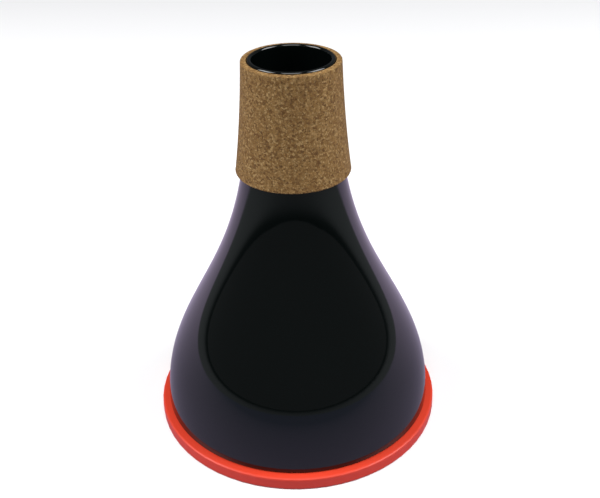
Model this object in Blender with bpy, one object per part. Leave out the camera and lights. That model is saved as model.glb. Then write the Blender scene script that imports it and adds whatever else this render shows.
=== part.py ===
"""Practice mute for a flugelhorn, standing on its wide end, in metres with +Z up.

A bell-shaped black shell carries a cork collar on its neck. An orange cap closes the wide end.
Inside, a tube stands on the cap and reaches up into the neck. Its top is plugged, so the air
goes round it into the chamber, through a foam sleeve into slots near its foot, and out of a
small hole in the middle of the cap. The origin is the middle of the base, on the table.
"""

import math

import bmesh
import bpy

# Clearance between two pieces that touch on the real mute
SEAT_GAP = 0.0003

# Shell: neck and flare are one moulding
SHELL_HEIGHT = 0.1588
SHELL_BASE_RADIUS = 0.0596
SHELL_WALL = 0.0018
SHELL_EDGE_ROUND = 0.0006
NECK_LENGTH = 0.0471
NECK_ROOT_RADIUS = 0.02124
NECK_MOUTH_RADIUS = 0.01724
NECK_WAIST = 0.00056
FLARE_JOIN_RISE = 0.0080
FLARE_BASE_HANDLE = 0.0444
FLARE_NECK_HANDLE = 0.0598

# Cork collar: a sheet wrapped round the neck, with the lip left proud
CORK_THICKNESS = 0.0022
CORK_EDGE_ROUND = 0.0004
LIP_STAND = 0.0007

# Base cap: skirt, plate, spigot that locates in the shell, ribs and a socket for the tube
CAP_RIM_HEIGHT = 0.0059
CAP_LEDGE = 0.0034
CAP_WALL = 0.0020
CAP_FOOT_WIDTH = 0.0032
CAP_RIM_ROUND = 0.0009
CAP_SPIGOT_HEIGHT = 0.0080
CAP_SPIGOT_LEAD = 0.0006
CAP_RIB_COUNT = 6
CAP_RIB_HEIGHT = 0.0030
CAP_RIB_THICKNESS = 0.0016
SOCKET_WALL = 0.0018
SOCKET_FLOOR = 0.0012
VENT_RADIUS = 0.0027
VENT_COLLAR_WIDTH = 0.0025
VENT_COLLAR_DEPTH = 0.0014

# Inner tube and its plug
TUBE_RADIUS = 0.0085
TUBE_WALL = 0.0015
TUBE_SETBACK = 0.0220
SLOT_COUNT = 6
SLOT_WIDTH = 0.0032
SLOT_LENGTH = 0.0140
SLOT_MARGIN = 0.0050
PLUG_HEAD = 0.0020
PLUG_DISH = 0.0008
PLUG_RIM = 0.0015
PLUG_WALL = 0.0014
PLUG_REACH = 0.0070
PLUG_ROUND = 0.0005

# Spider that keeps the tube in the middle of the neck
SPIDER_DROP = 0.0520
SPIDER_HEIGHT = 0.0080
SPIDER_HUB_WALL = 0.0016
SPIDER_VANES = 3
SPIDER_VANE_THICKNESS = 0.0016

# Foam
PAD_THICKNESS = 0.0050
SLEEVE_THICKNESS = 0.0065

# Facets round the axis, and points along each stretch of the shell's side
ROUND_STEPS = 64
TUBE_STEPS = 32
FLARE_STEPS = 13
NECK_STEPS = 4
ARC_STEPS = 3
LIP_STEPS = 4

# How far shapes that are joined or cut run into or past each other
OVERLAP = 0.0005

# Heights that follow from the sizes above
SEAT_Z = CAP_RIM_HEIGHT + SEAT_GAP
LIP_Z = SEAT_Z + SHELL_HEIGHT
NECK_ROOT_Z = LIP_Z - NECK_LENGTH
CORK_TOP_Z = LIP_Z - LIP_STAND
PLATE_TOP_Z = CAP_RIM_HEIGHT
PLATE_UNDER_Z = CAP_RIM_HEIGHT - CAP_WALL
RIB_TOP_Z = PLATE_TOP_Z + CAP_RIB_HEIGHT
PAD_FOOT_Z = RIB_TOP_Z + SEAT_GAP
SOCKET_TOP_Z = PAD_FOOT_Z + PAD_THICKNESS
SOCKET_SEAT_Z = PLATE_TOP_Z + SOCKET_FLOOR
SLEEVE_FOOT_Z = SOCKET_TOP_Z + SEAT_GAP
SLEEVE_LENGTH = SLOT_LENGTH + 2 * SLOT_MARGIN
SLOT_MIDDLE_Z = SLEEVE_FOOT_Z + SLEEVE_LENGTH / 2
PLUG_TOP_Z = LIP_Z - TUBE_SETBACK
TUBE_TOP_Z = PLUG_TOP_Z - PLUG_HEAD - SEAT_GAP
TUBE_FOOT_Z = SOCKET_SEAT_Z + SEAT_GAP
SPIDER_TOP_Z = LIP_Z - SPIDER_DROP
SPIDER_FOOT_Z = SPIDER_TOP_Z - SPIDER_HEIGHT

# Radii that follow from the sizes above
SOCKET_BORE_RADIUS = TUBE_RADIUS + SEAT_GAP
SOCKET_RADIUS = SOCKET_BORE_RADIUS + SOCKET_WALL
CAP_RIM_RADIUS = SHELL_BASE_RADIUS + CAP_LEDGE
VENT_COLLAR_RADIUS = VENT_RADIUS + VENT_COLLAR_WIDTH


def clear_scene():
    for old in list(bpy.data.objects):
        bpy.data.objects.remove(old, do_unlink=True)


def finish(name, colour, roughness, metallic=0.0):
    """A Principled material with one colour."""
    made = bpy.data.materials.new(name)
    made.use_nodes = True
    shader = made.node_tree.nodes["Principled BSDF"]
    shader.inputs["Base Color"].default_value = (*colour, 1.0)
    shader.inputs["Roughness"].default_value = roughness
    shader.inputs["Metallic"].default_value = metallic
    return made


def evenly(first, last, steps):
    """Values from first to last, in that many equal steps."""
    return [first + (last - first) * step / steps for step in range(steps + 1)]


def arc(centre, radius, first, last, steps):
    """Points on a circle, from one angle to another."""
    points = []
    for angle in evenly(first, last, steps):
        points.append((centre[0] + radius * math.cos(angle), centre[1] + radius * math.sin(angle)))
    return points


def neck_radius(z):
    """Outside of the neck: a straight taper, drawn in a little at half its length."""
    share = (z - NECK_ROOT_Z) / NECK_LENGTH
    taper = NECK_ROOT_RADIUS + (NECK_MOUTH_RADIUS - NECK_ROOT_RADIUS) * share
    return taper - 4 * NECK_WAIST * share * (1 - share)


def neck_slope(z):
    """How fast the neck's radius grows with height."""
    share = (z - NECK_ROOT_Z) / NECK_LENGTH
    return (NECK_MOUTH_RADIUS - NECK_ROOT_RADIUS - 4 * NECK_WAIST * (1 - 2 * share)) / NECK_LENGTH


def set_in(radius, z, slope_r, slope_z, depth):
    """The point at that depth under the surface, square to it."""
    length = math.hypot(slope_r, slope_z)
    return radius - depth * slope_z / length, z + depth * slope_r / length


def flare_side(depth):
    """The flare from the seat up to the neck, as (radius, z). It is one cubic curve, which
    starts straight up and ends along the neck's own slope."""
    join_z = NECK_ROOT_Z + FLARE_JOIN_RISE
    slope = neck_slope(join_z)
    length = math.hypot(slope, 1.0)
    start = (SHELL_BASE_RADIUS, SEAT_Z)
    rise = (start[0], start[1] + FLARE_BASE_HANDLE)
    end = (neck_radius(join_z), join_z)
    drop = (end[0] - FLARE_NECK_HANDLE * slope / length, end[1] - FLARE_NECK_HANDLE / length)
    points = []
    for step in range(FLARE_STEPS):
        t = step / FLARE_STEPS
        s = 1 - t
        place = []
        run = []
        for a, b, c, d in zip(start, rise, drop, end):
            place.append(s**3 * a + 3 * s * s * t * b + 3 * s * t * t * c + t**3 * d)
            run.append(3 * s * s * (b - a) + 6 * s * t * (c - b) + 3 * t * t * (d - c))
        points.append(set_in(*place, *run, depth))
    return points


def neck_side(depth):
    """The neck from the flare up to where the lip's round begins, as (radius, z)."""
    join_z = NECK_ROOT_Z + FLARE_JOIN_RISE
    lip_round_z = LIP_Z - SHELL_WALL / 2
    points = []
    for z in evenly(join_z, lip_round_z, NECK_STEPS):
        points.append(set_in(neck_radius(z), z, neck_slope(z), 1.0, depth))
    return points


def shell_side(depth):
    return flare_side(depth) + neck_side(depth)


def radius_at(side, z):
    """Radius of a rising row of points at height z."""
    for (low_r, low_z), (high_r, high_z) in zip(side, side[1:]):
        if low_z <= z <= high_z:
            return low_r + (high_r - low_r) * (z - low_z) / (high_z - low_z)
    return side[-1][0]


def rounded(corners):
    """Corners are (radius, z, round). A corner with a round becomes an arc of that radius."""
    points = []
    for index, (r, z, fillet) in enumerate(corners):
        if not fillet:
            points.append((r, z))
            continue
        before = corners[index - 1]
        after = corners[(index + 1) % len(corners)]
        arms = []
        for other in (before, after):
            reach = math.hypot(other[0] - r, other[1] - z)
            arms.append(((other[0] - r) / reach, (other[1] - z) / reach))
        half = math.acos(arms[0][0] * arms[1][0] + arms[0][1] * arms[1][1]) / 2
        back = fillet / math.tan(half)
        middle = (arms[0][0] + arms[1][0], arms[0][1] + arms[1][1])
        scale = fillet / math.sin(half) / math.hypot(*middle)
        centre = (r + middle[0] * scale, z + middle[1] * scale)
        ends = [(r + arm[0] * back, z + arm[1] * back) for arm in arms]
        first, last = (math.atan2(end[1] - centre[1], end[0] - centre[0]) for end in ends)
        turn = (last - first + math.pi) % (2 * math.pi) - math.pi
        points += arc(centre, fillet, first, first + turn, ARC_STEPS)
    return points


def new_object(name, mesh_maker, material=None):
    """An object from a bmesh. Without a material it is a cutter or a helper, and stays hidden."""
    bmesh.ops.recalc_face_normals(mesh_maker, faces=mesh_maker.faces)
    mesh = bpy.data.meshes.new(name)
    mesh_maker.to_mesh(mesh)
    mesh_maker.free()
    made = bpy.data.objects.new(name, mesh)
    bpy.context.scene.collection.objects.link(made)
    if material is None:
        made.hide_render = True
        made.display_type = "WIRE"
    else:
        mesh.materials.append(material)
        mesh.shade_smooth()
        mesh.set_sharp_from_angle(angle=math.radians(35))
    return made


def turned(name, outline, material, steps=ROUND_STEPS):
    """A closed outline of (radius, z) points spun once round the Z axis."""
    maker = bmesh.new()
    corners = [maker.verts.new((r, 0.0, z)) for r, z in outline]
    sides = [maker.edges.new(pair) for pair in zip(corners, corners[1:] + corners[:1])]
    bmesh.ops.spin(
        maker,
        geom=corners + sides,
        axis=(0, 0, 1),
        cent=(0, 0, 0),
        angle=2 * math.pi,
        steps=steps,
        use_merge=True,
    )
    bmesh.ops.remove_doubles(maker, verts=maker.verts, dist=1e-6)
    # An outline that runs along the axis leaves edges there that no face uses
    loose = [edge for edge in maker.edges if not edge.link_faces]
    bmesh.ops.delete(maker, geom=loose, context="EDGES")
    return new_object(name, maker, material)


def joined(body, helper, operation):
    """Joins the helper to the body or cuts it out, as a modifier that stays on the body."""
    step = body.modifiers.new(helper.name, "BOOLEAN")
    step.operation = operation
    step.solver = "EXACT"
    step.object = helper


def fins(name, side_outline, thickness, count):
    """Flat fins round the axis: an outline of (radius, z) points, thickened to both sides."""
    maker = bmesh.new()
    for index in range(count):
        angle = 2 * math.pi * index / count
        out = (math.cos(angle), math.sin(angle))
        across = (-out[1] * thickness, out[0] * thickness)
        corners = []
        for r, z in side_outline:
            x = r * out[0] - across[0] / 2
            y = r * out[1] - across[1] / 2
            corners.append(maker.verts.new((x, y, z)))
        face = maker.faces.new(corners)
        grown = bmesh.ops.extrude_face_region(maker, geom=[face])
        moved = [item for item in grown["geom"] if isinstance(item, bmesh.types.BMVert)]
        bmesh.ops.translate(maker, verts=moved, vec=(*across, 0.0))
    return new_object(name, maker)


def slot_cutters():
    """One round-ended bar for each slot, from inside the tube's bore to past its outside."""
    maker = bmesh.new()
    end_radius = SLOT_WIDTH / 2
    straight = SLOT_LENGTH / 2 - end_radius
    upper = arc((0.0, SLOT_MIDDLE_Z + straight), end_radius, 0.0, math.pi, ARC_STEPS)
    lower = arc((0.0, SLOT_MIDDLE_Z - straight), end_radius, math.pi, 2 * math.pi, ARC_STEPS)
    start = TUBE_RADIUS - TUBE_WALL - OVERLAP
    reach = TUBE_WALL + 2 * OVERLAP
    for index in range(SLOT_COUNT):
        angle = 2 * math.pi * (index + 0.5) / SLOT_COUNT
        out = (math.cos(angle), math.sin(angle))
        corners = []
        for side, z in upper + lower:
            x = start * out[0] - side * out[1]
            y = start * out[1] + side * out[0]
            corners.append(maker.verts.new((x, y, z)))
        face = maker.faces.new(corners)
        grown = bmesh.ops.extrude_face_region(maker, geom=[face])
        moved = [item for item in grown["geom"] if isinstance(item, bmesh.types.BMVert)]
        bmesh.ops.translate(maker, verts=moved, vec=(reach * out[0], reach * out[1], 0.0))
    return new_object("slot_cutters", maker)


def build_shell(black):
    """Outside up, round the lip, inside down. The foot's outer edge is rounded."""
    outer = shell_side(0.0)
    inner = shell_side(SHELL_WALL)
    edge_centre = (SHELL_BASE_RADIUS - SHELL_EDGE_ROUND, SEAT_Z + SHELL_EDGE_ROUND)
    edge = arc(edge_centre, SHELL_EDGE_ROUND, -math.pi / 2, 0.0, ARC_STEPS)
    lip_centre = ((outer[-1][0] + inner[-1][0]) / 2, (outer[-1][1] + inner[-1][1]) / 2)
    start = math.atan2(outer[-1][1] - lip_centre[1], outer[-1][0] - lip_centre[0])
    lip = arc(lip_centre, SHELL_WALL / 2, start, start + math.pi, LIP_STEPS)
    turned("shell", edge + outer[1:-1] + lip + inner[-2::-1], black)


def build_cork(cork):
    """A sleeve of even thickness that follows the neck from its root to just under the lip."""
    heights = evenly(NECK_ROOT_Z, CORK_TOP_Z, NECK_STEPS)
    # Near its root the neck already flares, so the bore keeps clear of the wider of the two
    side = shell_side(0.0)
    bore = [(max(neck_radius(z), radius_at(side, z)) + SEAT_GAP, z) for z in heights]
    outer = [(neck_radius(z) + SEAT_GAP + CORK_THICKNESS, z) for z in heights]
    corners = [(r, z, 0.0) for r, z in outer]
    corners[0] = (*outer[0], CORK_EDGE_ROUND)
    corners[-1] = (*outer[-1], CORK_EDGE_ROUND)
    corners += [(r, z, 0.0) for r, z in reversed(bore)]
    turned("cork_collar", rounded(corners), cork)


def build_cap(orange):
    """One moulding: skirt, plate, spigot, tube socket with the vent through it, and ribs."""
    spigot_top = PLATE_TOP_Z + CAP_SPIGOT_HEIGHT
    spigot_radius = radius_at(shell_side(SHELL_WALL), spigot_top) - SEAT_GAP
    spigot_bore = spigot_radius - CAP_WALL
    foot_bore = CAP_RIM_RADIUS - CAP_FOOT_WIDTH
    outline = rounded(
        [
            (CAP_RIM_RADIUS, 0.0, CAP_RIM_ROUND),
            (CAP_RIM_RADIUS, CAP_RIM_HEIGHT, CAP_RIM_ROUND),
            (spigot_radius, CAP_RIM_HEIGHT, 0.0),
            (spigot_radius, spigot_top, CAP_SPIGOT_LEAD),
            (spigot_bore, spigot_top, 0.0),
            (spigot_bore, PLATE_TOP_Z, 0.0),
            (SOCKET_RADIUS, PLATE_TOP_Z, 0.0),
            (SOCKET_RADIUS, SOCKET_TOP_Z, 0.0),
            (SOCKET_BORE_RADIUS, SOCKET_TOP_Z, 0.0),
            (SOCKET_BORE_RADIUS, SOCKET_SEAT_Z, 0.0),
            (VENT_RADIUS, SOCKET_SEAT_Z, 0.0),
            (VENT_RADIUS, PLATE_UNDER_Z - VENT_COLLAR_DEPTH, 0.0),
            (VENT_COLLAR_RADIUS, PLATE_UNDER_Z - VENT_COLLAR_DEPTH, 0.0),
            (VENT_COLLAR_RADIUS, PLATE_UNDER_Z, 0.0),
            (foot_bore, PLATE_UNDER_Z, 0.0),
            (foot_bore, 0.0, 0.0),
        ]
    )
    cap = turned("base_cap", outline, orange)
    rib = [
        (SOCKET_RADIUS - OVERLAP, PLATE_TOP_Z - OVERLAP),
        (spigot_bore + OVERLAP, PLATE_TOP_Z - OVERLAP),
        (spigot_bore + OVERLAP, RIB_TOP_Z),
        (SOCKET_RADIUS - OVERLAP, RIB_TOP_Z),
    ]
    joined(cap, fins("cap_ribs", rib, CAP_RIB_THICKNESS, CAP_RIB_COUNT), "UNION")
    return spigot_bore


def build_tube(black):
    bore = TUBE_RADIUS - TUBE_WALL
    outline = [
        (TUBE_RADIUS, TUBE_FOOT_Z),
        (TUBE_RADIUS, TUBE_TOP_Z),
        (bore, TUBE_TOP_Z),
        (bore, TUBE_FOOT_Z),
    ]
    tube = turned("inner_tube", outline, black, TUBE_STEPS)
    joined(tube, slot_cutters(), "DIFFERENCE")


def build_plug(black):
    """A hollow stopper. Its head is dished and as wide as the tube that it closes."""
    under_head = PLUG_TOP_Z - PLUG_HEAD
    spigot = TUBE_RADIUS - TUBE_WALL - SEAT_GAP
    outline = rounded(
        [
            (0.0, PLUG_TOP_Z - PLUG_DISH, 0.0),
            (0.0, under_head, 0.0),
            (spigot - PLUG_WALL, under_head, 0.0),
            (spigot - PLUG_WALL, PLUG_TOP_Z - PLUG_REACH, 0.0),
            (spigot, PLUG_TOP_Z - PLUG_REACH, PLUG_ROUND),
            (spigot, under_head, 0.0),
            (TUBE_RADIUS, under_head, 0.0),
            (TUBE_RADIUS, PLUG_TOP_Z, PLUG_ROUND),
            (TUBE_RADIUS - PLUG_RIM, PLUG_TOP_Z, 0.0),
            (TUBE_RADIUS - PLUG_RIM, PLUG_TOP_Z - PLUG_DISH, 0.0),
        ]
    )
    turned("tube_plug", outline, black, TUBE_STEPS)


def build_spider(black):
    """A hub on the tube, and vanes that reach the neck's bore, whose slope their tips follow."""
    bore = shell_side(SHELL_WALL)
    hub_bore = TUBE_RADIUS + SEAT_GAP
    hub_radius = hub_bore + SPIDER_HUB_WALL
    outline = [
        (hub_radius, SPIDER_FOOT_Z),
        (hub_radius, SPIDER_TOP_Z),
        (hub_bore, SPIDER_TOP_Z),
        (hub_bore, SPIDER_FOOT_Z),
    ]
    spider = turned("tube_spider", outline, black, TUBE_STEPS)
    vane = [
        (hub_radius - OVERLAP, SPIDER_FOOT_Z + OVERLAP),
        (radius_at(bore, SPIDER_FOOT_Z) - SEAT_GAP, SPIDER_FOOT_Z + OVERLAP),
        (radius_at(bore, SPIDER_TOP_Z) - SEAT_GAP, SPIDER_TOP_Z - OVERLAP),
        (hub_radius - OVERLAP, SPIDER_TOP_Z - OVERLAP),
    ]
    joined(spider, fins("spider_vanes", vane, SPIDER_VANE_THICKNESS, SPIDER_VANES), "UNION")


def build_ring(name, inner, outer, foot, height, material):
    outline = [(outer, foot), (outer, foot + height), (inner, foot + height), (inner, foot)]
    turned(name, outline, material)


clear_scene()
shell_black = finish("shell_black", (0.006, 0.006, 0.008), 0.08)
inner_black = finish("inner_black", (0.010, 0.010, 0.012), 0.35)
cap_orange = finish("cap_orange", (0.67, 0.052, 0.021), 0.35)
cork_brown = finish("cork_brown", (0.24, 0.13, 0.055), 0.85)
foam_grey = finish("foam_grey", (0.035, 0.035, 0.038), 0.95)

build_shell(shell_black)
build_cork(cork_brown)
SPIGOT_BORE_RADIUS = build_cap(cap_orange)
build_tube(inner_black)
build_plug(inner_black)
build_spider(inner_black)
build_ring(
    "floor_pad",
    SOCKET_RADIUS + SEAT_GAP,
    SPIGOT_BORE_RADIUS - SEAT_GAP,
    PAD_FOOT_Z,
    PAD_THICKNESS,
    foam_grey,
)
build_ring(
    "foam_sleeve",
    TUBE_RADIUS + SEAT_GAP,
    TUBE_RADIUS + SEAT_GAP + SLEEVE_THICKNESS,
    SLEEVE_FOOT_Z,
    SLEEVE_LENGTH,
    foam_grey,
)
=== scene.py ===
# %% [markdown]
# A practice mute for a flugelhorn, dressed for its picture. The mute stands on its wide end: a
# polished black shell, a cork collar on the neck, and an orange-red cap that closes the base.
# Each step below says what the piece is on the real mute and how its surface is worked out.

import math

import bpy
import numpy as np
from mathutils import Matrix, Vector


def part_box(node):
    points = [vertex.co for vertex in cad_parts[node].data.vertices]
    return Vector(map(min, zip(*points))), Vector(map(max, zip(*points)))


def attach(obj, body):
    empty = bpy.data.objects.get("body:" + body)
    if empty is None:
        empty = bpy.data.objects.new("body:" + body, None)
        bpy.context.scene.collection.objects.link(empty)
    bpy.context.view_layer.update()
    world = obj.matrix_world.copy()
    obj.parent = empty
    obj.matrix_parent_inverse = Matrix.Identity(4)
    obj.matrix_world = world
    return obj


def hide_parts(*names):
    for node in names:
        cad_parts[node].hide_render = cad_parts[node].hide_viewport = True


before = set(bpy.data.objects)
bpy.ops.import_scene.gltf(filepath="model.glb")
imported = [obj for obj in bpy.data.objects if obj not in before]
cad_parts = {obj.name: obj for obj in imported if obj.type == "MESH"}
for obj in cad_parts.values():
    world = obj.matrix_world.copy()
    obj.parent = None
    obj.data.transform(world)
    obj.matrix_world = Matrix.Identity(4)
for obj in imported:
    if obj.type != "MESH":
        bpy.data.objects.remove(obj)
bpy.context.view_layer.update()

# %% [markdown]
# The mute is a body of revolution, so nearly everything on it is one outline carried round an
# axis. The outline's driving sizes are read from the measured model's boxes, and the few that a
# box doesn't show are written here once, in metres.

# %% Sizes that the outlines share
shell_low, shell_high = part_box("shell")
cork_low, cork_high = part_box("cork_collar")
_, cap_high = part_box("base_cap")

SEAT_GAP = 0.0003
SHELL_WALL = 0.0018
SHELL_EDGE_ROUND = 0.0006
SHELL_BASE_RADIUS = shell_high.x
SEAT_Z = shell_low.z
LIP_Z = shell_high.z
NECK_ROOT_Z = cork_low.z
NECK_LENGTH = LIP_Z - NECK_ROOT_Z
NECK_ROOT_RADIUS = 0.02124
NECK_MOUTH_RADIUS = 0.01724
NECK_WAIST = 0.00056
FLARE_JOIN_RISE = 0.0080
FLARE_BASE_HANDLE = 0.0444
FLARE_NECK_HANDLE = 0.0598
CORK_TOP_Z = cork_high.z
CORK_THICKNESS = 0.0022
CAP_RADIUS = cap_high.x
print(f"base {2000 * CAP_RADIUS:.1f} mm across, lip at {1000 * LIP_Z:.1f} mm")

# %% [markdown]
# Three helpers make every mesh here. One turns a grid of points into a mesh in one call. One
# carries an outline of (radius, height) points round the Z axis, as such a grid. The last gives
# the points of a round corner.


# %% Helpers for turned surfaces
SHARP_ANGLE = math.radians(40)


def mesh_from_grid(name, grid):
    """A mesh from a grid of points, (rows, columns, 3). Columns run round the axis and rows along
    the outline, and both close on themselves: the row after the last is the first again."""
    rows, columns = grid.shape[:2]
    row, column = np.meshgrid(np.arange(rows), np.arange(columns), indexing="ij")
    next_row = (row + 1) % rows
    next_column = (column + 1) % columns
    corners = (
        row * columns + column,
        row * columns + next_column,
        next_row * columns + next_column,
        next_row * columns + column,
    )
    faces = np.stack(corners, axis=-1).reshape(-1, 4)
    mesh = bpy.data.meshes.new(name)
    mesh.from_pydata(grid.reshape(-1, 3).tolist(), [], faces.tolist())
    mesh.validate()
    mesh.shade_smooth()
    mesh.set_sharp_from_angle(angle=SHARP_ANGLE)
    made = bpy.data.objects.new(name, mesh)
    bpy.context.scene.collection.objects.link(made)
    return made


def turned_grid(outline, columns):
    """An outline (n, 2) of radius and height, carried round Z: x is radius times the cosine of
    the angle, y is radius times its sine, and z stays the height."""
    angle = np.linspace(0.0, 2 * np.pi, columns, endpoint=False)
    radius = outline[:, 0:1]
    x = radius * np.cos(angle)
    y = radius * np.sin(angle)
    z = np.repeat(outline[:, 1:2], columns, axis=1)
    return np.stack([x, y, z], axis=-1)


def arc(centre, radius, first, last, count):
    """Points on a circle from one angle to another, in degrees, as (count, 2)."""
    angle = np.radians(np.linspace(first, last, count))
    return np.stack([centre[0] + radius * np.cos(angle), centre[1] + radius * np.sin(angle)], axis=-1)


print("a ring of 8 points has a grid of", turned_grid(arc((0.01, 0), 0.001, 0, 315, 8), 6).shape)

# %% [markdown]
# The neck is a straight taper drawn in a little at its waist. The flare below it is one cubic
# curve: it leaves the base nearly upright and meets the neck along the neck's own slope, so no
# kink shows where the two run together under the cork.


# %% The shell's side as a formula
def neck_radius(z):
    """A straight taper from root to mouth, less a parabola that is deepest at half length."""
    share = (z - NECK_ROOT_Z) / NECK_LENGTH
    taper = NECK_ROOT_RADIUS + (NECK_MOUTH_RADIUS - NECK_ROOT_RADIUS) * share
    return taper - 4 * NECK_WAIST * share * (1 - share)


def neck_slope(z):
    """The neck radius's rate of change with height."""
    share = (z - NECK_ROOT_Z) / NECK_LENGTH
    return (NECK_MOUTH_RADIUS - NECK_ROOT_RADIUS - 4 * NECK_WAIST * (1 - 2 * share)) / NECK_LENGTH


def flare_curve(count):
    """Points and directions along the cubic curve, as two (count, 2) arrays. With t from 0 to 1
    and s its rest, a point is s^3 a + 3 s^2 t b + 3 s t^2 c + t^3 d."""
    join_z = NECK_ROOT_Z + FLARE_JOIN_RISE
    along_neck = np.array([neck_slope(join_z), 1.0])
    along_neck /= np.linalg.norm(along_neck)
    a = np.array([SHELL_BASE_RADIUS, SEAT_Z])
    b = a + np.array([0.0, FLARE_BASE_HANDLE])
    d = np.array([neck_radius(join_z), join_z])
    c = d - FLARE_NECK_HANDLE * along_neck
    t = np.linspace(0.0, 1.0, count)[:, None]
    s = 1 - t
    place = s**3 * a + 3 * s**2 * t * b + 3 * s * t**2 * c + t**3 * d
    run = 3 * s**2 * (b - a) + 6 * s * t * (c - b) + 3 * t**2 * (d - c)
    return place, run


def shell_side(depth, flare_count, neck_count):
    """The shell's side at a depth under its outside, from the seat to the start of the lip."""
    place, run = flare_curve(flare_count)
    z = np.linspace(place[-1, 1], LIP_Z - SHELL_WALL / 2, neck_count)[1:]
    neck = np.stack([neck_radius(z), z], axis=-1)
    neck_run = np.stack([neck_slope(z), np.ones_like(z)], axis=-1)
    place = np.concatenate([place, neck])
    run = np.concatenate([run, neck_run])
    run = run / np.linalg.norm(run, axis=1, keepdims=True)
    inward = np.stack([-run[:, 1], run[:, 0]], axis=-1)
    return place + depth * inward


OUTER_POINTS = (90, 40)
INNER_POINTS = (60, 30)

side = shell_side(0.0, *OUTER_POINTS)
print(f"shell side: {len(side)} points, narrowest {1000 * side[:, 0].min():.2f} mm")

# %% [markdown]
# Handling leaves a faint network of marks that shows only as a less sharp gloss. It is one shader
# group, because every plastic here shares it. The plastics differ in colour, gloss and grain.


# %% Node helpers and shared groups
def new_group(name, inputs, outputs):
    """An empty shader group with named sockets: inputs give (name, type, value)."""
    group = bpy.data.node_groups.new(name, "ShaderNodeTree")
    for label, kind, value in inputs:
        socket = group.interface.new_socket(label, in_out="INPUT", socket_type=kind)
        if value is not None:
            socket.default_value = value
    for label, kind in outputs:
        group.interface.new_socket(label, in_out="OUTPUT", socket_type=kind)
    return group


def add(tree, kind, **settings):
    """A node of that kind, with its properties set, and inputs set by number or name."""
    node = tree.nodes.new(kind)
    values = settings.pop("inputs", {})
    for label, value in settings.items():
        setattr(node, label, value)
    for label, value in values.items():
        node.inputs[label].default_value = value
    return node


def handling_marks_group():
    """Fine specks and smears: the peaks of a fine noise, kept where a broad noise is high, so the
    mask is the product of the two after each is stretched to run from 0 to 1."""
    group = new_group(
        "handling marks",
        [("Vector", "NodeSocketVector", None), ("Scale", "NodeSocketFloat", 60.0)],
        [("Mask", "NodeSocketFloat")],
    )
    source = group.nodes.new("NodeGroupInput")
    result = group.nodes.new("NodeGroupOutput")
    link = group.links.new
    fine = add(group, "ShaderNodeTexNoise", inputs={"Detail": 6.0, "Roughness": 0.6, "Distortion": 0.8})
    link(source.outputs["Vector"], fine.inputs["Vector"])
    link(source.outputs["Scale"], fine.inputs["Scale"])
    broad = add(group, "ShaderNodeTexNoise", inputs={"Scale": 14.0, "Detail": 2.0})
    link(source.outputs["Vector"], broad.inputs["Vector"])
    keep = add(group, "ShaderNodeMapRange", inputs={"From Min": 0.42, "From Max": 0.7})
    link(broad.outputs["Fac"], keep.inputs["Value"])
    marks = add(group, "ShaderNodeMapRange", inputs={"From Min": 0.5, "From Max": 0.75})
    link(fine.outputs["Fac"], marks.inputs["Value"])
    both = add(group, "ShaderNodeMath", operation="MULTIPLY")
    link(keep.outputs["Result"], both.inputs[0])
    link(marks.outputs["Result"], both.inputs[1])
    link(both.outputs["Value"], result.inputs["Mask"])
    return group


HANDLING_MARKS = handling_marks_group()
GRAIN_DEPTH = 0.0002


def moulded_plastic(name, dark, light, rough, rough_marked, bump, grain_scale):
    """Moulded plastic: a slow change between two near colours, a fine moulding grain in the
    bump, and handling marks that raise the roughness from rough to rough_marked."""
    made = bpy.data.materials.new(name)
    made.use_nodes = True
    tree = made.node_tree
    link = tree.links.new
    shader = tree.nodes["Principled BSDF"]
    place = add(tree, "ShaderNodeTexCoord").outputs["Object"]
    slow = add(tree, "ShaderNodeTexNoise", inputs={"Scale": 22.0, "Detail": 3.0})
    link(place, slow.inputs["Vector"])
    tint = add(tree, "ShaderNodeMix", data_type="RGBA")
    tint.inputs["A"].default_value = (*dark, 1.0)
    tint.inputs["B"].default_value = (*light, 1.0)
    link(slow.outputs["Fac"], tint.inputs["Factor"])
    link(tint.outputs["Result"], shader.inputs["Base Color"])
    marks = add(tree, "ShaderNodeGroup", node_tree=HANDLING_MARKS)
    link(place, marks.inputs["Vector"])
    rougher = add(tree, "ShaderNodeMapRange", inputs={"To Min": rough, "To Max": rough_marked})
    link(marks.outputs["Mask"], rougher.inputs["Value"])
    link(rougher.outputs["Result"], shader.inputs["Roughness"])
    grain = add(tree, "ShaderNodeTexNoise", inputs={"Scale": grain_scale, "Detail": 4.0})
    link(place, grain.inputs["Vector"])
    raised = add(tree, "ShaderNodeBump", inputs={"Strength": bump, "Distance": GRAIN_DEPTH})
    link(grain.outputs["Fac"], raised.inputs["Height"])
    link(raised.outputs["Normal"], shader.inputs["Normal"])
    return made


print("shared group", HANDLING_MARKS.name, "with", len(HANDLING_MARKS.nodes), "nodes")

# %% [markdown]
# The shell is polished black plastic. Almost all that the eye sees of it is reflection, so its
# colour is near black and its roughness low, with a slight orange-peel in the bump.

# %% Shell
SHELL_COLUMNS = 256
LIP_POINTS = 14
EDGE_POINTS = 7
SAME_POINT = 1e-5

shell_black = moulded_plastic(
    "polished_black", (0.0008, 0.0016, 0.0014), (0.0012, 0.0021, 0.002), 0.04, 0.13, 0.02, 260.0
)


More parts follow.
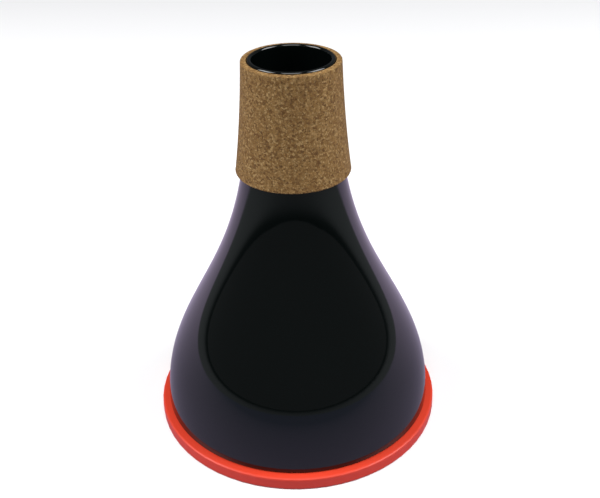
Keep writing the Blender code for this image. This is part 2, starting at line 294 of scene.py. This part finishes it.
def build_shell():
    """Outside up, over the lip, inside down, and across the foot's rounded edge."""
    outer = shell_side(0.0, *OUTER_POINTS)
    inner = shell_side(SHELL_WALL, *INNER_POINTS)
    lip_centre = (outer[-1] + inner[-1]) / 2
    reach = outer[-1] - lip_centre
    start = math.degrees(math.atan2(reach[1], reach[0]))
    lip = arc(lip_centre, SHELL_WALL / 2, start, start + 180, LIP_POINTS)
    edge_centre = (SHELL_BASE_RADIUS - SHELL_EDGE_ROUND, SEAT_Z + SHELL_EDGE_ROUND)
    edge = arc(edge_centre, SHELL_EDGE_ROUND, -90, 0, EDGE_POINTS)
    outer = outer[outer[:, 1] > edge[-1, 1] + SAME_POINT]
    outline = np.concatenate([edge, outer[:-1], lip, inner[-2::-1]])
    return mesh_from_grid("shell_skin", turned_grid(outline, SHELL_COLUMNS))


shell = build_shell()
shell.data.materials.append(shell_black)
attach(shell, "root")
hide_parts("shell")
print("shell", len(shell.data.polygons), "faces")

# %% [markdown]
# The collar is agglomerated cork: ground granules of bark pressed together with a binder, cut as
# a sheet and wrapped round the neck. Its granules are angular, a little under a millimetre
# across, in browns from tan to umber. Voronoi cells give each granule one colour of its own, and
# a finer noise breaks the even colour of each one up.


# %% Cork finish
CORK_SPECULAR = 0.3
GRANULE_SHIFT = 0.0012
GRANULE_DEPTH = 0.0003
SEAM_WIDTH = 0.12
BLUE_TO_HEIGHT = 0.6


def cork_finish(name, shades, scale, bump):
    """Granules from Voronoi cells, looked up at a place that a noise has shifted, so that their
    sides aren't straight. Each cell's random red picks its shade from a ramp, its green its
    roughness and its blue its height. The seams between cells are darker and lie lower."""
    made = bpy.data.materials.new(name)
    made.use_nodes = True
    tree = made.node_tree
    link = tree.links.new
    shader = tree.nodes["Principled BSDF"]
    shader.inputs["Specular IOR Level"].default_value = CORK_SPECULAR
    place = add(tree, "ShaderNodeTexCoord").outputs["Object"]
    warp = add(tree, "ShaderNodeTexNoise", inputs={"Scale": 500.0, "Detail": 2.0})
    link(place, warp.inputs["Vector"])
    shift = add(tree, "ShaderNodeVectorMath", operation="MULTIPLY_ADD")
    shift.inputs[1].default_value = (GRANULE_SHIFT,) * 3
    link(warp.outputs["Color"], shift.inputs[0])
    link(place, shift.inputs[2])
    cells = add(tree, "ShaderNodeTexVoronoi", inputs={"Scale": scale, "Randomness": 1.0})
    link(shift.outputs["Vector"], cells.inputs["Vector"])
    split = add(tree, "ShaderNodeSeparateColor")
    link(cells.outputs["Color"], split.inputs["Color"])
    ramp = add(tree, "ShaderNodeValToRGB")
    ramp.color_ramp.elements[0].position = 0.0
    ramp.color_ramp.elements[0].color = (*shades[0], 1.0)
    ramp.color_ramp.elements[1].position = 1.0
    ramp.color_ramp.elements[1].color = (*shades[-1], 1.0)
    for index, shade in enumerate(shades[1:-1], start=1):
        stop = ramp.color_ramp.elements.new(index / (len(shades) - 1))
        stop.color = (*shade, 1.0)
    link(split.outputs["Red"], ramp.inputs["Fac"])
    seams = add(tree, "ShaderNodeTexVoronoi", feature="DISTANCE_TO_EDGE", inputs={"Scale": scale})
    link(shift.outputs["Vector"], seams.inputs["Vector"])
    seam = add(tree, "ShaderNodeMapRange", inputs={"From Max": SEAM_WIDTH, "To Min": 0.55})
    link(seams.outputs["Distance"], seam.inputs["Value"])
    darker = add(tree, "ShaderNodeMix", data_type="RGBA", blend_type="MULTIPLY")
    darker.inputs["Factor"].default_value = 1.0
    link(ramp.outputs["Color"], darker.inputs["A"])
    link(seam.outputs["Result"], darker.inputs["B"])
    flecks = add(tree, "ShaderNodeTexNoise", inputs={"Scale": 1500.0, "Detail": 3.0, "Roughness": 0.7})
    link(place, flecks.inputs["Vector"])
    fleck_range = {"From Min": 0.3, "From Max": 0.7, "To Min": 0.72, "To Max": 1.25}
    fleck = add(tree, "ShaderNodeMapRange", inputs=fleck_range)
    link(flecks.outputs["Fac"], fleck.inputs["Value"])
    final = add(tree, "ShaderNodeMix", data_type="RGBA", blend_type="MULTIPLY")
    final.inputs["Factor"].default_value = 1.0
    link(darker.outputs["Result"], final.inputs["A"])
    link(fleck.outputs["Result"], final.inputs["B"])
    link(final.outputs["Result"], shader.inputs["Base Color"])
    rough = add(tree, "ShaderNodeMapRange", inputs={"To Min": 0.7, "To Max": 0.95})
    link(split.outputs["Green"], rough.inputs["Value"])
    link(rough.outputs["Result"], shader.inputs["Roughness"])
    height = add(tree, "ShaderNodeMath", operation="MULTIPLY_ADD")
    height.inputs[1].default_value = BLUE_TO_HEIGHT
    link(split.outputs["Blue"], height.inputs[0])
    link(seam.outputs["Result"], height.inputs[2])
    raised = add(tree, "ShaderNodeBump", inputs={"Strength": bump, "Distance": GRANULE_DEPTH})
    link(height.outputs["Value"], raised.inputs["Height"])
    link(raised.outputs["Normal"], shader.inputs["Normal"])
    return made


CORK_SHADES = [
    (0.12, 0.055, 0.014),
    (0.20, 0.105, 0.030),
    (0.235, 0.13, 0.040),
    (0.27, 0.155, 0.052),
    (0.36, 0.23, 0.09),
]
CORK_EDGE_ROUND = 0.0005
CORK_ROWS = 60
CORK_EDGE_POINTS = 6
cork_side = cork_finish("cork_side", CORK_SHADES, scale=1300.0, bump=0.35)


def build_cork():
    """A sleeve of even thickness on the neck, its two outer corners barely rounded by grinding."""
    z = np.linspace(NECK_ROOT_Z, CORK_TOP_Z, CORK_ROWS)
    bore_of_flare = np.interp(z, side[:, 1], side[:, 0])
    bore = np.maximum(neck_radius(z), bore_of_flare) + SEAT_GAP
    outer = neck_radius(z) + SEAT_GAP + CORK_THICKNESS
    soft = CORK_EDGE_ROUND
    low = arc((outer[0] - soft, z[0] + soft), soft, -90, -5, CORK_EDGE_POINTS)
    high = arc((outer[-1] - soft, z[-1] - soft), soft, 5, 90, CORK_EDGE_POINTS)
    middle = (z > z[0] + soft) & (z < z[-1] - soft)
    outline = np.concatenate(
        [low, np.stack([outer, z], axis=-1)[middle], high, np.stack([bore, z], axis=-1)[::-1]]
    )
    return mesh_from_grid("cork_sleeve", turned_grid(outline, SHELL_COLUMNS))


cork = build_cork()
cork.data.materials.append(cork_side)
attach(cork, "root")
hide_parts("cork_collar")
print("cork", len(cork.data.polygons), "faces")

# %% [markdown]
# The cap is the only strong colour: a satin orange-red moulding. Its ledge is all that the photo
# shows. The pieces inside, seen only down the neck, are plain black.

# %% Cap and inner pieces
cap_orange = moulded_plastic(
    "satin_orange", (0.60, 0.038, 0.014), (0.66, 0.045, 0.018), 0.42, 0.55, 0.06, 900.0
)
inner_black = moulded_plastic(
    "plain_black", (0.010, 0.010, 0.012), (0.016, 0.016, 0.018), 0.4, 0.5, 0.06, 900.0
)
foam_grey = moulded_plastic(
    "foam_grey", (0.03, 0.03, 0.033), (0.06, 0.06, 0.062), 0.9, 1.0, 0.6, 1400.0
)

for node, finish in (
    ("base_cap", cap_orange),
    ("inner_tube", inner_black),
    ("tube_plug", inner_black),
    ("tube_spider", inner_black),
):
    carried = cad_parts[node]
    carried.data.materials.clear()
    carried.data.materials.append(finish)
    print(node, "keeps its shape and gets", finish.name)


# %% [markdown]
# Foam pieces are soft, so each gets a surface of its own, a rounded ring a little inside the
# space that the model keeps for it.


# %% Foam rings
PAD_BORE_RADIUS = 0.0112
SLEEVE_BORE_RADIUS = 0.0091
FOAM_SIDE_ROOM = 0.0002
FOAM_END_ROOM = 0.0001
FOAM_POWER = 0.35
FOAM_POINTS = 48
FOAM_COLUMNS = 128


def foam_ring(name, node, inner_radius):
    """A ring whose outline is a superellipse: the cosine and sine of the turn, each raised to a
    small power with its sign kept, which gives a box with well-rounded corners."""
    low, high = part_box(node)
    outer_radius = high.x
    half_width = (outer_radius - inner_radius) / 2 - FOAM_SIDE_ROOM
    half_height = (high.z - low.z) / 2 - FOAM_END_ROOM
    turn = np.linspace(0, 2 * np.pi, FOAM_POINTS, endpoint=False)
    across = np.sign(np.cos(turn)) * np.abs(np.cos(turn)) ** FOAM_POWER
    up = np.sign(np.sin(turn)) * np.abs(np.sin(turn)) ** FOAM_POWER
    radius = (inner_radius + outer_radius) / 2 + half_width * across
    height = (low.z + high.z) / 2 + half_height * up
    ring = mesh_from_grid(name, turned_grid(np.stack([radius, height], axis=-1), FOAM_COLUMNS))
    ring.data.materials.append(foam_grey)
    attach(ring, "root")
    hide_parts(node)
    return ring


for name, node, bore in (
    ("floor_foam", "floor_pad", PAD_BORE_RADIUS),
    ("sleeve_foam", "foam_sleeve", SLEEVE_BORE_RADIUS),
):
    print(name, len(foam_ring(name, node, bore).data.polygons), "faces")

# %% [markdown]
# A pale floor fills the picture, because the camera looks down at 31 degrees. What the polished
# shell mirrors is painted reflection in the floor's colour, dimmer than the pale floor: an oval
# that ends 0.45 m to each side and 0.6 m in front, with painted shade in front, a lighter painted
# reflection behind, and painted dark beyond. The oval's end is the curved edge seen in the shell.
# Two soft lamps light the sides and a third the front, all above what the front mirrors.

# %% Floor, world and lamps
FLOOR_HALF = 4.0
FLOOR_PALE = (0.88, 0.88, 0.89, 1.0)
# Colours the floor shows to every ray but camera rays are painted reflection: painted shade in front, a
# lighter painted reflection behind, painted dark outside the oval.
PAINTED_REFLECTION_SPREAD = (2.2, 1.6, 0.0)
PAINTED_SHADE_FRONT = (0.10, 0.11, 0.18, 1.0)
PAINTED_REFLECTION_BACK = (0.46, 0.38, 0.54, 1.0)
PAINTED_DARK_BEYOND = (0.11, 0.12, 0.125, 1.0)


def build_floor():
    """One large square: pale to the camera, and to other rays painted reflection, an oval with
    painted shade in front and a lighter painted reflection behind, and painted dark outside it. The
    oval ends where (x, y) times the spread reaches a length of 1, softened a little."""
    mesh = bpy.data.meshes.new("floor")
    signs = ((-1, -1), (1, -1), (1, 1), (-1, 1))
    corners = [(x * FLOOR_HALF, y * FLOOR_HALF, 0) for x, y in signs]
    mesh.from_pydata(corners, [], [(0, 1, 2, 3)])
    floor = bpy.data.objects.new("floor", mesh)
    bpy.context.scene.collection.objects.link(floor)
    pale = bpy.data.materials.new("pale_floor_and_painted_reflection")
    pale.use_nodes = True
    tree = pale.node_tree
    link = tree.links.new
    shader = tree.nodes["Principled BSDF"]
    shader.inputs["Roughness"].default_value = 0.9
    place = add(tree, "ShaderNodeTexCoord").outputs["Object"]
    spread = add(tree, "ShaderNodeVectorMath", operation="MULTIPLY", inputs={1: PAINTED_REFLECTION_SPREAD})
    link(place, spread.inputs[0])
    reach = add(tree, "ShaderNodeVectorMath", operation="LENGTH")
    link(spread.outputs["Vector"], reach.inputs[0])
    fade = {"From Min": 0.95, "From Max": 1.05, "To Min": 1.0, "To Max": 0.0}
    near = add(tree, "ShaderNodeMapRange", inputs=fade)
    link(reach.outputs["Value"], near.inputs["Value"])
    axes = add(tree, "ShaderNodeSeparateXYZ")
    link(place, axes.inputs["Vector"])
    behind = add(tree, "ShaderNodeMapRange", inputs={"From Min": -0.25, "From Max": 0.2})
    link(axes.outputs["Y"], behind.inputs["Value"])
    # Painted shade in front of the mute, running to a lighter painted reflection behind it.
    tint = add(tree, "ShaderNodeMix", data_type="RGBA")
    tint.inputs["A"].default_value = PAINTED_SHADE_FRONT
    tint.inputs["B"].default_value = PAINTED_REFLECTION_BACK
    link(behind.outputs["Result"], tint.inputs["Factor"])
    # Painted dark outside the oval, painted reflection inside it.
    painted_reflection = add(tree, "ShaderNodeMix", data_type="RGBA")
    painted_reflection.inputs["A"].default_value = PAINTED_DARK_BEYOND
    link(tint.outputs["Result"], painted_reflection.inputs["B"])
    link(near.outputs["Result"], painted_reflection.inputs["Factor"])
    # Camera rays see the pale floor, and every other ray sees the painted reflection.
    seen = add(tree, "ShaderNodeMix", data_type="RGBA")
    seen.inputs["B"].default_value = FLOOR_PALE
    link(painted_reflection.outputs["Result"], seen.inputs["A"])
    link(add(tree, "ShaderNodeLightPath").outputs["Is Camera Ray"], seen.inputs["Factor"])
    link(seen.outputs["Result"], shader.inputs["Base Color"])
    mesh.materials.append(pale)
    return floor


def soft_lamp(name, place, aim, size, watts):
    """A square lamp at a place, facing a point."""
    data = bpy.data.lights.new(name, "AREA")
    data.shape = "SQUARE"
    data.size = size
    data.energy = watts
    lamp = bpy.data.objects.new(name, data)
    bpy.context.scene.collection.objects.link(lamp)
    lamp.location = place
    direction = np.array(aim) - np.array(place)
    lamp.rotation_euler = Vector(direction).to_track_quat("-Z", "Y").to_euler()
    print(name, "stands", round(float(np.linalg.norm(direction)), 2), "m from what it faces")


build_floor()
soft_lamp("left_lamp", place=(-1.0, -0.2, 0.95), aim=(0, 0, 0.08), size=0.8, watts=18.0)
soft_lamp("right_lamp", place=(1.0, -0.2, 0.95), aim=(0, 0, 0.08), size=0.8, watts=18.0)
soft_lamp("front_lamp", place=(0, -0.7, 1.4), aim=(0, 0, 0.05), size=0.9, watts=12.0)

ROOM_COLOUR = (0.75, 0.77, 0.8, 1.0)
ROOM_STRENGTH = 0.14
world = bpy.data.worlds.new("room")
bpy.context.scene.world = world
world.use_nodes = True
room = world.node_tree.nodes["Background"]
room.inputs["Color"].default_value = ROOM_COLOUR
room.inputs["Strength"].default_value = ROOM_STRENGTH

# %% [markdown]
# The camera stands where the photographer's did: 0.35 m in front, 0.28 m up, looking down at
# 30.7 degrees with a 56 mm lens, tipped one degree.

# %% Camera
CAMERA_PLACE = (0.00212, -0.34583, 0.28451)
CAMERA_LENS = 56.0
SENSOR_WIDTH = 36.0
LOOK_DOWN = 30.69
TIP = -1.0

camera_data = bpy.data.cameras.new("camera")
camera_data.lens = CAMERA_LENS
camera_data.sensor_width = SENSOR_WIDTH
camera = bpy.data.objects.new("camera", camera_data)
bpy.context.scene.collection.objects.link(camera)
camera.location = CAMERA_PLACE
pitch = Matrix.Rotation(math.radians(90 - LOOK_DOWN), 3, "X")
roll = Matrix.Rotation(math.radians(TIP), 3, "Z")
camera.rotation_mode = "QUATERNION"
camera.rotation_quaternion = (pitch @ roll).to_quaternion()
bpy.context.scene.camera = camera
bpy.context.scene.view_settings.view_transform = "Standard"
print(f"camera {camera.location.length:.3f} m from the middle of the base, {CAMERA_LENS} mm lens")
